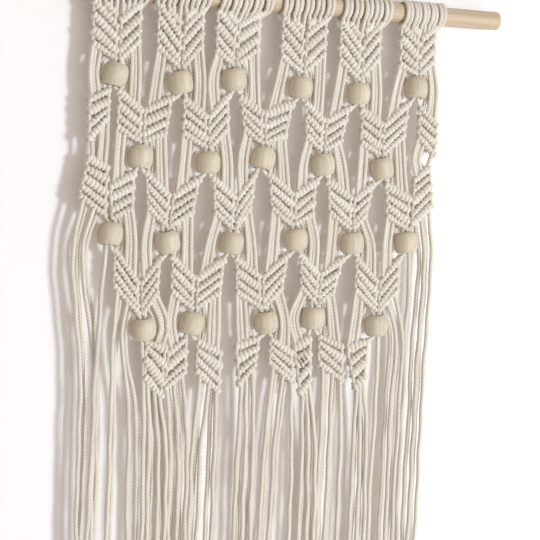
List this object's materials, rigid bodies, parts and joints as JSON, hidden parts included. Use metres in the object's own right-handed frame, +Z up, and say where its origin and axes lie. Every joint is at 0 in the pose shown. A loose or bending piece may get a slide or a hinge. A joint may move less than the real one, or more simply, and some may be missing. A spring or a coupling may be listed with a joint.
{
  "type": "macrame wall hanging on a wooden rod",
  "caption": "Knotted cotton panel of staggered V's with wooden barrel beads and a long straight fringe, looped over a plain wooden rod.",
  "frame": {"origin": "on the rod's axis, half-way along the rod", "axes": "+X along the rod to the viewer's right, +Y towards the wall, +Z up"},
  "size_m": [0.411, 0.0243, 0.6543],
  "materials": {
    "pale_wood": "plain sanded dowel",
    "bead_wood": "turned, unvarnished",
    "cotton_cord": "three-ply twisted natural cotton"
  },
  "bodies": {
    "root": {"rod": "pale_wood", "macrame": "cotton_cord", "bead_1_1": "bead_wood", "bead_1_2": "bead_wood", "bead_1_3": "bead_wood", "bead_1_4": "bead_wood", "bead_1_5": "bead_wood", "bead_1_6": "bead_wood", "bead_2_1": "bead_wood", "bead_2_2": "bead_wood", "bead_2_3": "bead_wood", "bead_2_4": "bead_wood", "bead_2_5": "bead_wood", "bead_3_1": "bead_wood", "bead_3_2": "bead_wood", "bead_3_3": "bead_wood", "bead_3_4": "bead_wood", "bead_3_5": "bead_wood", "bead_3_6": "bead_wood", "bead_4_1": "bead_wood", "bead_4_2": "bead_wood", "bead_4_3": "bead_wood", "bead_4_4": "bead_wood", "bead_4_5": "bead_wood"}
  },
  "joints": []
}
